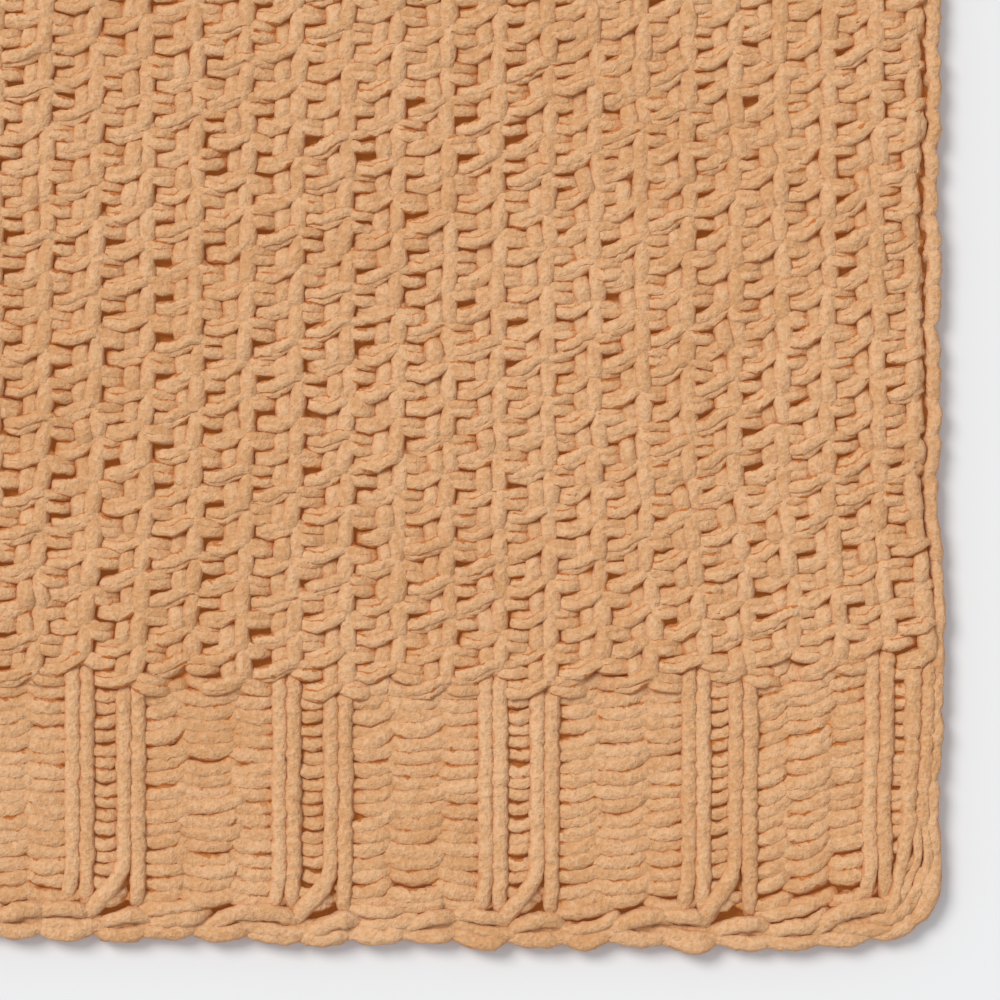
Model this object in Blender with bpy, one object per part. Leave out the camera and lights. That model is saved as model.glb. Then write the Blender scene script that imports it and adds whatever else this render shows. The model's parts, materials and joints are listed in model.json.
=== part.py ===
"""A cut corner length of a chunky machine-knit blanket, lying flat.

The cloth is one piece: a tuck-stitch field of thick wales, a ribbed border of paired knit wales
and flat purl panels, a corded cast-on edge, a selvedge down each side and a plain bound-off top.
It is one closed solid. Its underside is flat, and its face carries the wales as raised ribs.

Metres, +Z up out of the face, +Y along the wales from the cast-on edge to the bound-off edge,
+X across the wales to the right-hand selvedge. The origin is at the middle of the underside.
"""

import math

import bmesh
import bpy
from mathutils import Vector

MM = 0.001

# Wales, numbered from the right-hand selvedge. They crowd together near that side.
WALES = 26
WALE_PITCH = 17.0 * MM
DRAWN_IN = 10.5 * MM
DRAWN_IN_MIDDLE = 3.0
DRAWN_IN_SPREAD = 2.0
SELVEDGE = 4.3 * MM
RIB_REPEAT = 4
RIB_KNIT_WALES = 2

# Zones along the wales, from the cast-on edge up.
CAST_ON = 12.5 * MM
BORDER = 70.5 * MM
COURSES = 29
COURSE_PITCH = 12.35 * MM
COURSES_CLOSE_UP = 7.0 * MM
BIND_OFF = 8.0 * MM
BORDER_TOP = CAST_ON + BORDER
FIELD_TOP = BORDER_TOP + COURSES * COURSE_PITCH - COURSES_CLOSE_UP
LENGTH = FIELD_TOP + BIND_OFF
WIDTH = (WALES - 1) * WALE_PITCH - DRAWN_IN + 2 * SELVEDGE

# How the cloth lies: its courses dip in a smile, and above the border its wales draw together.
CORNER_RADIUS = 16.5 * MM
SMILE_LOW_POINT = 246.0 * MM
SMILE_RIGHT = 16.5 * MM
SMILE_RIGHT_REACH = 168.0 * MM
SMILE_LEFT = 5.8 * MM
SMILE_LEFT_REACH = 103.0 * MM
SMILE_LEFT_EASE = 0.25
SMILE_IN_BORDER = 0.62
SMILE_STARTS_OVER = 30.0 * MM
SMILE_GROWS_FROM = 85.0 * MM
SMILE_FULL_AT = 170.0 * MM
SMILE_AT_TOP = 0.3
SMILE_FADES_FROM = 180.0 * MM
DRAW_CENTRE = 259.0 * MM
DRAW = 0.028
DRAW_EXTRA = 3.0 * MM
DRAW_EXTRA_AT = 344.0 * MM
DRAW_EXTRA_SPREAD = 40.0 * MM
DRAW_FROM = 80.0 * MM
DRAW_FULL = 170.0 * MM
SIDE_BOW = 2.4 * MM
END_TILT = 0.016
END_LEVEL_AT = 251.0 * MM
END_CURL = 5.2 * MM
END_CURL_FROM = 376.0 * MM
END_CURL_REACH = 33.0 * MM
END_FADES_OVER = 60.0 * MM

# Thickness.
RIM_HEIGHT = 3.4 * MM
EDGE_CORD_HEIGHT = 7.9 * MM
UNDERSIDE_INSET = 1.6 * MM
UNEVEN_HEIGHT = 0.25 * MM
EDGE_WAVE = 1.1 * MM

# One wale across: offset from its seam, then the height there in the border's knit wales, in its
# purl panels and in the field.
WALE_PROFILE = (
    # offset, rib_knit, rib_purl, field
    (-5.3 * MM, 4.9 * MM, 5.6 * MM, 5.3 * MM),
    (-2.5 * MM, 8.2 * MM, 5.9 * MM, 8.7 * MM),
    (0.0 * MM, 7.1 * MM, 6.0 * MM, 8.1 * MM),
    (2.5 * MM, 8.2 * MM, 5.9 * MM, 8.7 * MM),
    (5.3 * MM, 4.9 * MM, 5.6 * MM, 5.3 * MM),
)
EDGE_CLEARANCE = 1.0 * MM

# Rows of points along the wales: how many steps each zone takes, and where its zone ends.
ROW_ZONES = (
    # steps, zone_end
    (4, CAST_ON),
    (6, BORDER_TOP - 3.0 * MM),
    (1, BORDER_TOP + 3.0 * MM),
    (14, FIELD_TOP),
    (3, LENGTH),
)

# Slow waves that keep the cloth uneven: share of the amplitude, wavelength, phase.
WAVES_ACROSS = ((0.55, 68.0 * MM, 0.6), (0.30, 31.0 * MM, 2.1), (0.15, 17.5 * MM, 4.0))
WAVES_ALONG = ((0.60, 93.0 * MM, 1.9), (0.40, 49.0 * MM, 0.3))

YARN_COLOUR = (0.730, 0.423, 0.216, 1.0)


def clear_scene():
    """Remove every object that is in the scene."""
    for obj in list(bpy.data.objects):
        bpy.data.objects.remove(obj, do_unlink=True)


def smoothstep(low, high, value):
    """Ease from 0 at low to 1 at high."""
    t = min(max((value - low) / (high - low), 0.0), 1.0)
    return t * t * (3.0 - 2.0 * t)


def waves(table, along):
    """Sum of the table's sine waves at a distance along an edge, between -1 and 1."""
    return sum(share * math.sin(math.tau * along / length + phase) for share, length, phase in table)


def seam(wale):
    """Distance of a wale's seam from the left-hand side of the cloth."""
    at_start = math.tanh(DRAWN_IN_MIDDLE / DRAWN_IN_SPREAD)
    here = math.tanh((wale - DRAWN_IN_MIDDLE) / DRAWN_IN_SPREAD)
    crowding = DRAWN_IN * (here + at_start) / (1.0 + at_start)
    return WIDTH - SELVEDGE - wale * WALE_PITCH + crowding


def is_rib_knit(wale):
    """Tell whether a wale stands up as a knit wale in the border."""
    return wale % RIB_REPEAT < RIB_KNIT_WALES


def columns():
    """Points across the cloth, left to right: distance from the left side, then the three heights."""
    inside = []
    for wale in range(WALES):
        for offset, rib_knit, rib_purl, field in WALE_PROFILE:
            across = seam(wale) + offset
            if EDGE_CLEARANCE < across < WIDTH - EDGE_CLEARANCE:
                inside.append((across, rib_knit if is_rib_knit(wale) else rib_purl, field))
    sides = [(0.0, RIM_HEIGHT, RIM_HEIGHT), (WIDTH, RIM_HEIGHT, RIM_HEIGHT)]
    return sorted(inside + sides)


def rows():
    """Distances from the cast-on edge at which the cloth has a row of points."""
    found = [0.0]
    for steps, zone_end in ROW_ZONES:
        zone_start = found[-1]
        found += [zone_start + (zone_end - zone_start) * (i + 1) / steps for i in range(steps)]
    return found


def smile(across, along):
    """How far a course is carried up the cloth at this place."""
    past = across - SMILE_LOW_POINT
    if past > 0.0:
        lift = SMILE_RIGHT * (past / SMILE_RIGHT_REACH) ** 2
    else:
        square = (past / SMILE_LEFT_REACH) ** 2
        lift = SMILE_LEFT * square / (1.0 + SMILE_LEFT_EASE * square)
    growth = SMILE_IN_BORDER * smoothstep(0.0, SMILE_STARTS_OVER, along)
    growth += (1.0 - SMILE_IN_BORDER) * smoothstep(SMILE_GROWS_FROM, SMILE_FULL_AT, along)
    fade = 1.0 - (1.0 - SMILE_AT_TOP) * smoothstep(SMILE_FADES_FROM, LENGTH, along)
    return lift * growth * fade


def draw_together(across, along):
    """How far the field's closer fabric carries a wale sideways; the two sides stay where they are."""
    extra = DRAW_EXTRA * math.exp(-(((across - DRAW_EXTRA_AT) / DRAW_EXTRA_SPREAD) ** 2))
    shift = DRAW * (DRAW_CENTRE - across) - extra
    off_side = smoothstep(0.0, SELVEDGE, min(across, WIDTH - across))
    return shift * off_side * smoothstep(DRAW_FROM, DRAW_FULL, along)


def rounded(across, along):
    """Draw the four square corners in to arcs, moving less the further from the rim."""
    from_x = min(across, WIDTH - across)
    from_y = min(along, LENGTH - along)
    if from_x >= CORNER_RADIUS or from_y >= CORNER_RADIUS:
        return across, along
    reach_x, reach_y = CORNER_RADIUS - from_x, CORNER_RADIUS - from_y
    pull = max(reach_x, reach_y) / math.hypot(reach_x, reach_y)
    new_x, new_y = CORNER_RADIUS - reach_x * pull, CORNER_RADIUS - reach_y * pull
    return (
        new_x if across < WIDTH / 2 else WIDTH - new_x,
        new_y if along < LENGTH / 2 else LENGTH - new_y,
    )


def laid_flat(across, along):
    """Place on the floor of a point of the cloth, before the origin is set."""
    x, y = rounded(across, along)
    toward_side = (2.0 * across / WIDTH - 1.0) ** 5
    toward_end = (2.0 * along / LENGTH - 1.0) ** 7
    bulge = SIDE_BOW * math.sin(math.pi * along / LENGTH) + EDGE_WAVE * waves(WAVES_ALONG, along)
    x += draw_together(across, along) + toward_side * bulge
    y += smile(across, along) + EDGE_WAVE * toward_end * waves(WAVES_ACROSS, across)
    curl = END_CURL * (max(0.0, across - END_CURL_FROM) / END_CURL_REACH) ** 2
    tilt = END_TILT * (END_LEVEL_AT - across)
    y += (tilt + curl) * (1.0 - smoothstep(0.0, END_FADES_OVER, along))
    return x, y


def height(rib, field, across, along):
    """Thickness of the cloth at a point, from the heights of its column."""
    ribbed = rib + (field - rib) * smoothstep(BORDER_TOP - 3.0 * MM, BORDER_TOP + 3.0 * MM, along)
    uneven = UNEVEN_HEIGHT * waves(WAVES_ACROSS, across) * waves(WAVES_ALONG, along)
    from_end = min(along, LENGTH - along)
    edge_reach = CAST_ON if along < LENGTH / 2 else BIND_OFF
    inward = smoothstep(0.5 * edge_reach, edge_reach, from_end)
    return EDGE_CORD_HEIGHT + (ribbed - EDGE_CORD_HEIGHT) * inward + uneven


def knit_cloth_mesh():
    """Build the cloth as one closed body: a ribbed face, a sloping rim and a flat underside."""
    across_points, along_points = columns(), rows()
    last_column, last_row = len(across_points) - 1, len(along_points) - 1
    bm = bmesh.new()
    bmesh.ops.create_grid(bm, x_segments=last_column, y_segments=last_row, size=0.5)
    for vert in bm.verts:
        column = round((vert.co.x + 0.5) * last_column)
        row = round((vert.co.y + 0.5) * last_row)
        across, rib, field = across_points[column]
        along = along_points[row]
        on_rim = column in (0, last_column) or row in (0, last_row)
        z = RIM_HEIGHT if on_rim else height(rib, field, across, along)
        vert.co = Vector((*laid_flat(across, along), z))

    rim = [edge for edge in bm.edges if edge.is_boundary]
    lower = bmesh.ops.extrude_edge_only(bm, edges=rim)["geom"]
    shrink_x = 1.0 - 2.0 * UNDERSIDE_INSET / WIDTH
    shrink_y = 1.0 - 2.0 * UNDERSIDE_INSET / LENGTH
    for vert in (item for item in lower if isinstance(item, bmesh.types.BMVert)):
        vert.co.x = WIDTH / 2 + (vert.co.x - WIDTH / 2) * shrink_x
        vert.co.y = LENGTH / 2 + (vert.co.y - LENGTH / 2) * shrink_y
        vert.co.z = 0.0
    underside = bmesh.ops.contextual_create(bm, geom=[edge for edge in bm.edges if edge.is_boundary])
    bmesh.ops.triangulate(bm, faces=underside["faces"])
    bmesh.ops.recalc_face_normals(bm, faces=bm.faces)

    for axis in (0, 1):
        places = [vert.co[axis] for vert in bm.verts]
        middle = (min(places) + max(places)) / 2
        for vert in bm.verts:
            vert.co[axis] -= middle
    mesh = bpy.data.meshes.new("knit_cloth")
    bm.to_mesh(mesh)
    bm.free()
    mesh.shade_smooth()
    mesh.set_sharp_from_angle(angle=math.radians(50))
    return mesh


def chenille():
    """Matt tan chenille yarn."""
    material = bpy.data.materials.new("tan_chenille")
    material.use_nodes = True
    shader = material.node_tree.nodes["Principled BSDF"]
    shader.inputs["Base Color"].default_value = YARN_COLOUR
    shader.inputs["Roughness"].default_value = 0.95
    shader.inputs["Metallic"].default_value = 0.0
    material.diffuse_color = YARN_COLOUR
    return material


def main():
    """Build the blanket in a collection of its own."""
    clear_scene()
    blanket = bpy.data.collections.new("chunky_knit_blanket")
    bpy.context.scene.collection.children.link(blanket)
    cloth = bpy.data.objects.new("knit_cloth", knit_cloth_mesh())
    cloth.data.materials.append(chenille())
    blanket.objects.link(cloth)


main()
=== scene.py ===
"""Looks of a chunky chenille knit blanket: its yarn, stitch by stitch, over a thin ground cloth."""

from __future__ import annotations

import json
import logging
import math
from collections.abc import Iterable
from dataclasses import dataclass, field
from enum import Enum

import bpy
import numpy as np
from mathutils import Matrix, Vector

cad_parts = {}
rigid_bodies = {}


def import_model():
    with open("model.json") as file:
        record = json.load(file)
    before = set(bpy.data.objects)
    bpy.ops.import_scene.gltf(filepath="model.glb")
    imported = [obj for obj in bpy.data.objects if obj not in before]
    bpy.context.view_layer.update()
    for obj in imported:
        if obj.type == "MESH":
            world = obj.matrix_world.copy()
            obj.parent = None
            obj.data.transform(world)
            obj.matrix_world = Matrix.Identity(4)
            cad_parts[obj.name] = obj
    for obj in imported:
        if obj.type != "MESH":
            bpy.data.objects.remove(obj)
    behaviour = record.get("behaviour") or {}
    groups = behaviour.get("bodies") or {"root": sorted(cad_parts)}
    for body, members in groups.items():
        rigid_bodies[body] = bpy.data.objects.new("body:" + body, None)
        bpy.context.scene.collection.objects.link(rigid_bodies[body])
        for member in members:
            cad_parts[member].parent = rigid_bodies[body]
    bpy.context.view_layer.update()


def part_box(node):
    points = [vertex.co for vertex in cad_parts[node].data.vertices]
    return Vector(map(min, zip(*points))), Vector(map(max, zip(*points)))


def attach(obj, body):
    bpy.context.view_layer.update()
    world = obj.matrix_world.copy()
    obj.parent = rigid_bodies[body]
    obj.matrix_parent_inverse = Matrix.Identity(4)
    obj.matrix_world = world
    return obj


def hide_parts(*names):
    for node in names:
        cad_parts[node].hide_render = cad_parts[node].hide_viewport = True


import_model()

MM = 0.001
CLOTH_NODE = "knit_cloth"
RIB_REPEAT = 4  # wales from one pair of knit wales to the next
LOW_COURSES = 3  # the first courses of the field, next to the border

log = logging.getLogger("blanket")

Colour = tuple[float, float, float]
Point = tuple[float, float, float, float]  # a place and a radius


class Side(Enum):
    """A side of a seam or of the cloth, with its direction across."""

    LEFT = -1.0
    RIGHT = 1.0


class Wale(Enum):
    """How a wale stands in the ribbed border; two knit wales stand side by side in each repeat."""

    FIRST = 1
    SECOND = 0
    PURL = 2

    @staticmethod
    def of(wale: int) -> Wale:
        """Tell a wale's kind; wales are numbered from the right."""
        return {1: Wale.FIRST, 0: Wale.SECOND}.get(wale % RIB_REPEAT, Wale.PURL)


class Cut(Enum):
    """Which strands of a stitch are laid: towards the sides the edge chains stand in for some.

    Beside the border, where a side wale lies right at the edge, there is room for fewer.
    """

    WHOLE = ("leaf_top", "leaf_foot", "low_bar", "high_bar", "right_leg", "left_leg")
    RIGHT_SIDE = ("leaf_top_short", "leaf_foot_short", "left_leg")
    RIGHT_SIDE_LOW = ("leaf_top_end", "leaf_foot_end", "side_leg")
    LEFT_SIDE = ("low_bar", "high_bar", "right_leg", "left_leg")
    LEFT_SIDE_LOW = ("low_bar", "high_bar", "right_leg")

    @staticmethod
    def at(wale: int, wales: int, course: int) -> Cut:
        """Tell how a stitch is cut.

        Args:
            wale: its wale, numbered from the right.
            wales: how many wales the cloth has.
            course: its course, numbered from the border.

        Returns:
            The strands that are laid.
        """
        low = course < LOW_COURSES
        if wale == 0:
            return Cut.RIGHT_SIDE_LOW if low else Cut.RIGHT_SIDE
        if wale == wales - 1:
            return Cut.LEFT_SIDE_LOW if low else Cut.LEFT_SIDE
        return Cut.WHOLE


class PanelPlace(Enum):
    """Where a purl bump stands in its panel: the way to the cords, and how far it slims there."""

    MIDDLE = (1.0, 0.0)
    BY_LEFT_CORDS = (-1.0, 0.36)
    BY_RIGHT_CORDS = (1.0, 0.26)


def ease(low: float, high: float, value: float) -> float:
    """Ease from 0 at low to 1 at high."""
    t = min(max((value - low) / (high - low), 0.0), 1.0)
    return t * t * (3.0 - 2.0 * t)


def yarn_point(place: Vector, height: float, radius: float) -> Point:
    """A point of a strand over a place on the floor, with its height and radius in mm."""
    return (place.x, place.y, height * MM, radius * MM)


def mark(mesh: bpy.types.Mesh, name: str, values: Iterable[float], kind: str = "FLOAT") -> None:
    """Store values on a mesh's points.

    Args:
        mesh: takes the attribute.
        name: the attribute's name.
        values: its numbers, point by point.
        kind: the attribute's type.
    """
    layer = mesh.attributes.new(name, kind, "POINT")
    layer.data.foreach_set("vector" if kind == "FLOAT_VECTOR" else "value", values)


# ---- How the cloth is laid out ----


@dataclass
class ClothLay:
    """The plan of the cloth: where its wales and courses lie, with the sizes of the solid.

    Distances across run from the left side, and distances along from the cast-on edge.
    """

    wales: int = 26
    wale_pitch: float = 17.0 * MM
    selvedge: float = 4.3 * MM
    cast_on: float = 12.5 * MM
    border: float = 70.5 * MM
    courses: int = 29
    course_pitch: float = 12.35 * MM
    stagger: float = 0.5
    bind_off: float = 8.0 * MM
    corner_radius: float = 16.5 * MM
    # The wales crowd towards the right side, and the first courses lie closer.
    drawn_in: float = 10.5 * MM
    drawn_in_middle: float = 3.0
    drawn_in_spread: float = 2.0
    courses_close_up: float = 7.0 * MM
    close_up_over: float = 5.5
    # The courses dip in a smile that grows up the cloth and fades at the top.
    smile_low_point: float = 246.0 * MM
    smile_right: float = 16.5 * MM
    smile_right_reach: float = 168.0 * MM
    smile_left: float = 5.8 * MM
    smile_left_reach: float = 103.0 * MM
    smile_left_ease: float = 0.25
    smile_in_border: float = 0.62
    smile_starts_over: float = 30.0 * MM
    smile_grows_from: float = 85.0 * MM
    smile_full_at: float = 170.0 * MM
    smile_at_top: float = 0.3
    smile_fades_from: float = 180.0 * MM
    # The field is narrower than the border, most of all by one wale.
    draw_centre: float = 259.0 * MM
    draw: float = 0.028
    draw_extra: float = 3.0 * MM
    draw_extra_at: float = 344.0 * MM
    draw_extra_spread: float = 40.0 * MM
    draw_from: float = 80.0 * MM
    draw_full: float = 170.0 * MM
    # The sides bow out, and the cast-on edge tilts and curls up at the right.
    side_bow: float = 2.4 * MM
    end_tilt: float = 0.016
    end_level_at: float = 251.0 * MM
    end_curl: float = 5.2 * MM
    end_curl_from: float = 376.0 * MM
    end_curl_reach: float = 33.0 * MM
    end_fades_over: float = 60.0 * MM
    # Slow waves along the edges (share, wavelength, phase), and how steeply they grow towards a side
    # and towards an end.
    edge_wave: float = 1.1 * MM
    waves_across: tuple = ((0.55, 68.0 * MM, 0.6), (0.30, 31.0 * MM, 2.1), (0.15, 17.5 * MM, 4.0))
    waves_along: tuple = ((0.60, 93.0 * MM, 1.9), (0.40, 49.0 * MM, 0.3))
    side_power: int = 5
    end_power: int = 7
    # How many places on each edge give the cloth's box, and how far apart those are that give a turn.
    rim_steps: int = 160
    turn_reach: float = 4.0 * MM
    origin: Vector = field(default_factory=lambda: Vector((0.0, 0.0)))

    def __post_init__(self) -> None:
        """Work out the overall sizes and set the plan's origin where the solid has it."""
        self.width = (self.wales - 1) * self.wale_pitch - self.drawn_in + 2 * self.selvedge
        self.border_top = self.cast_on + self.border
        field_length = self.courses * self.course_pitch - self.courses_close_up
        self.length = self.border_top + field_length + self.bind_off
        rim = np.array([tuple(point) for point in self.outline()])
        middle = (rim.min(axis=0) + rim.max(axis=0)) / 2
        low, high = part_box(CLOTH_NODE)
        self.origin = Vector((low[0] + high[0], low[1] + high[1])) / 2 - Vector(middle)

    @staticmethod
    def waves(table: tuple, along: float) -> float:
        """Sum of a table's sine waves at a distance along an edge."""
        return sum(share * math.sin(math.tau * along / length + phase) for share, length, phase in table)

    def seam(self, wale: int) -> float:
        """Find a wale's seam in the border.

        Args:
            wale: its number from the right.

        Returns:
            Its distance across.
        """
        at_start = math.tanh(self.drawn_in_middle / self.drawn_in_spread)
        here = math.tanh((wale - self.drawn_in_middle) / self.drawn_in_spread)
        crowding = self.drawn_in * (here + at_start) / (1.0 + at_start)
        return self.width - self.selvedge - wale * self.wale_pitch + crowding

    def course(self, number: float) -> float:
        """Distance along of a course of the field, counted from the border."""
        closing = self.courses_close_up * math.tanh(number / self.close_up_over)
        return self.border_top + number * self.course_pitch - closing

    def course_of(self, wale: int, course: int) -> float:
        """Number of a course in its wale; every second wale is staggered."""
        return course + self.stagger * (wale % 2)

    def smile(self, across: float, along: float) -> float:
        """Find how far a course is carried up the cloth.

        Args:
            across: distance across of the place.
            along: its distance along.

        Returns:
            The distance up.
        """
        past = across - self.smile_low_point
        if past > 0.0:
            lift = self.smile_right * (past / self.smile_right_reach) ** 2
        else:
            square = (past / self.smile_left_reach) ** 2
            lift = self.smile_left * square / (1.0 + self.smile_left_ease * square)
        growth = self.smile_in_border * ease(0.0, self.smile_starts_over, along)
        growth += (1.0 - self.smile_in_border) * ease(self.smile_grows_from, self.smile_full_at, along)
        fade = 1.0 - (1.0 - self.smile_at_top) * ease(self.smile_fades_from, self.length, along)
        return lift * growth * fade

    def draw_together(self, across: float, along: float) -> float:
        """Find how far the field's closer fabric carries a wale sideways.

        Args:
            across: distance across of the place.
            along: its distance along.

        Returns:
            The distance to the right.
        """
        extra = self.draw_extra * math.exp(-(((across - self.draw_extra_at) / self.draw_extra_spread) ** 2))
        shift = self.draw * (self.draw_centre - across) - extra
        off_side = ease(0.0, self.selvedge, min(across, self.width - across))
        return shift * off_side * ease(self.draw_from, self.draw_full, along)

    def rounded(self, across: float, along: float) -> tuple[float, float]:
        """Draw the square corners in to arcs, moving less the further from the rim.

        Args:
            across: distance across of a place, as if the corners were square.
            along: its distance along.

        Returns:
            The distances across and along of the place.
        """
        radius = self.corner_radius
        from_x = min(across, self.width - across)
        from_y = min(along, self.length - along)
        if from_x >= radius or from_y >= radius:
            return across, along
        reach_x, reach_y = radius - from_x, radius - from_y
        pull = max(reach_x, reach_y) / math.hypot(reach_x, reach_y)
        new_x, new_y = radius - reach_x * pull, radius - reach_y * pull
        return (
            new_x if across < self.width / 2 else self.width - new_x,
            new_y if along < self.length / 2 else self.length - new_y,
        )

    def place(self, across: float, along: float) -> Vector:
        """Place on the floor of a point of the cloth, given as if the corners were square."""
        return self.settle(across, along, *self.rounded(across, along))

    def settle(self, across: float, along: float, x: float, y: float) -> Vector:
        """Add to a place the ways in which the cloth doesn't lie square.

        Args:
            across: distance across, as if the corners were square.
            along: distance along, as if the corners were square.
            x: the same distance across, with the corners drawn in.
            y: the same distance along, with the corners drawn in.

        Returns:
            The place on the floor.
        """
        toward_side = (2.0 * across / self.width - 1.0) ** self.side_power
        toward_end = (2.0 * along / self.length - 1.0) ** self.end_power
        bow = self.side_bow * math.sin(math.pi * along / self.length)
        bulge = bow + self.edge_wave * self.waves(self.waves_along, along)
        x += self.draw_together(across, along) + toward_side * bulge
        y += self.smile(across, along) + self.edge_wave * toward_end * self.waves(self.waves_across, across)
        curl = self.end_curl * (max(0.0, across - self.end_curl_from) / self.end_curl_reach) ** 2
        tilt = self.end_tilt * (self.end_level_at - across)
        y += (tilt + curl) * (1.0 - ease(0.0, self.end_fades_over, along))
        return Vector((x, y)) + self.origin

    def rim_length(self) -> float:
        """Length of the way round the cloth."""
        return 2 * (self.width + self.length) - (8 - math.tau) * self.corner_radius

    def rim_start(self, side: int) -> float:
        """Find where an edge starts.

        Args:
            side: 0 for the cast-on edge, 1 for the right side, 2 for the bound-off edge, 3 for the left.

        Returns:
            Its distance round the rim.
        """
        runs = (self.width, self.length, self.width, self.length)
        arcs = side * math.pi / 2 * self.corner_radius
        return sum(runs[:side]) - 2 * side * self.corner_radius + arcs

    def rim(self, distance: float, inset: float) -> Vector:
        """Place of a point some distance round the rim, counterclockwise, and inside it.

        Args:
            distance: distance round the rim from the start of the cast-on edge.
            inset: how far inside the rim.

        Returns:
            Its place on the floor.
        """
        radius = self.corner_radius
        left = distance % self.rim_length()
        side = 0
        while side < 3 and left >= self.rim_start(side + 1):
            side += 1
        left -= self.rim_start(side)
        run = (self.width, self.length)[side % 2] - 2 * radius
        angle = min(max(left - run, 0.0) / radius, math.pi / 2)
        forward = radius + min(left, run) + math.sin(angle) * (radius - inset)
        inward = radius - math.cos(angle) * (radius - inset)
        x, y = (
            (forward, inward),
            (self.width - inward, forward),
            (self.width - forward, self.length - inward),
            (inward, self.length - forward),
        )[side]
        return self.settle(x, y, x, y)

    def outline(self) -> list[Vector]:
        """Find places all round the rim.

        Returns:
            The places, one from each edge at a time.
        """
        points = []
        for i in range(self.rim_steps):
            across, along = self.width * i / self.rim_steps, self.length * i / self.rim_steps
            points += [self.place(across, 0.0), self.place(self.width, along)]
            points += [self.place(self.width - across, self.length), self.place(0.0, self.length - along)]
        return points

    def frame_at(self, across: float, along: float) -> tuple[Vector, float]:
        """Find how a stitch lies.

        Args:
            across: its distance across.
            along: its distance along.

        Returns:
            Its place on the floor and the angle at which its course runs there.
        """
        reach = self.turn_reach
        here = self.place(across, along)
        ahead = self.place(across + reach, along) - self.place(across - reach, along)
        return here, math.atan2(ahead.y, ahead.x)


# ---- Node building ----


class Value:
    """A number that varies from place to place, with arithmetic that adds its own Math nodes."""

    def __init__(self, nodes: Nodes, socket: bpy.types.NodeSocket) -> None:
        """Wrap a socket of a tree."""
        self.nodes = nodes
        self.socket = socket

    def _math(self, operation: str, first: object, second: object) -> Value:
        """Add one Math node on two values or numbers."""
        return self.nodes.add("ShaderNodeMath", {"operation": operation}, {0: first, 1: second})[0]

    def __add__(self, other: object) -> Value:
        """Add."""
        return self._math("ADD", self, other)

    __radd__ = __add__

    def __sub__(self, other: object) -> Value:
        """Subtract."""
        return self._math("SUBTRACT", self, other)

    def __rsub__(self, other: object) -> Value:
        """Subtract from a number."""
        return self._math("SUBTRACT", other, self)

    def __mul__(self, other: object) -> Value:
        """Multiply."""
        return self._math("MULTIPLY", self, other)

    __rmul__ = __mul__

    def __truediv__(self, other: object) -> Value:
        """Divide."""
        return self._math("DIVIDE", self, other)

    def __rtruediv__(self, other: object) -> Value:
        """Divide a number."""
        return self._math("DIVIDE", other, self)


class Made:
    """A node that has been added; its outputs are read by name or number."""

    def __init__(self, nodes: Nodes, node: bpy.types.Node) -> None:
        """Keep the node with the builder of its tree."""
        self.nodes = nodes
        self.node = node

    def __getitem__(self, output: str | int) -> Value:
        """One output as a value."""
        return Value(self.nodes, self.node.outputs[output])


class Nodes:
    """Adds nodes to one tree, of a material or of Geometry Nodes."""

    def __init__(self, tree: bpy.types.NodeTree) -> None:
        """Start on a tree."""
        self.tree = tree

    def add(self, kind: str, settings: dict | None = None, inputs: dict | None = None) -> Made:
        """Add a node.

        Args:
            kind: full node type name, such as ShaderNodeMath.
            settings: properties set first, such as a Math node's operation.
            inputs: values or constants by socket name or index.

        Returns:
            The node, ready for its outputs to be read.
        """
        node = self.tree.nodes.new(kind)
        for name, setting in (settings or {}).items():
            setattr(node, name, setting)
        for name, given in (inputs or {}).items():
            self.connect(given, node.inputs[name])
        return Made(self, node)

    def connect(self, given: object, socket: bpy.types.NodeSocket) -> None:
        """Link a value to a socket, or set a constant on it.

        Args:
            given: the value or the constant; a colour is three numbers.
            socket: the input.
        """
        if isinstance(given, Value):
            self.tree.links.new(given.socket, socket)
        elif isinstance(given, tuple) and socket.type == "RGBA":
            socket.default_value = (*given, 1.0)
        else:
            socket.default_value = given


# ---- Finishes ----


class Shader(Nodes):
    """Builds one material's nodes, on object coordinates."""

    def __init__(self, name: str) -> None:
        """Start a material with a Principled shader.

        Args:
            name: the material's name.
        """
        self.material = bpy.data.materials.new(name)
        self.material.use_nodes = True
        super().__init__(self.material.node_tree)
        self.principled = self.tree.nodes["Principled BSDF"]
        self.place = self.add("ShaderNodeTexCoord")["Object"]

    def surface(self, inputs: dict) -> bpy.types.Material:
        """Dress the Principled shader.

        Args:
            inputs: values or constants by socket name.

        Returns:
            The finished material.
        """
        for name, given in inputs.items():
            self.connect(given, self.principled.inputs[name])
        self.material.cycles.emission_sampling = "NONE"
        return self.material

    def attribute(self, name: str) -> Value:
        """A number that a mesh carries on its points."""
        return self.add("ShaderNodeAttribute", {"attribute_name": name})["Fac"]

    def noise(self, size: float, detail: float, roughness: float) -> Value:
        """A noise whose features are about one size across."""
        inputs = {"Vector": self.place, "Scale": 0.5 / size, "Detail": detail, "Roughness": roughness}
        return self.add("ShaderNodeTexNoise", None, inputs)["Fac"]

    def ranged(self, value: Value, low: float, high: float) -> Value:
        """Ease a value from 0 at low to 1 at high."""
        inputs = {"Value": value, "From Min": low, "From Max": high}
        return self.add("ShaderNodeMapRange", {"interpolation_type": "SMOOTHSTEP"}, inputs)[0]

    def mix(self, factor: Value, first: object, second: object) -> Value:
        """Mix two colours."""
        return self.add("ShaderNodeMix", {"data_type": "RGBA"}, {0: factor, 6: first, 7: second})[2]


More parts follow.
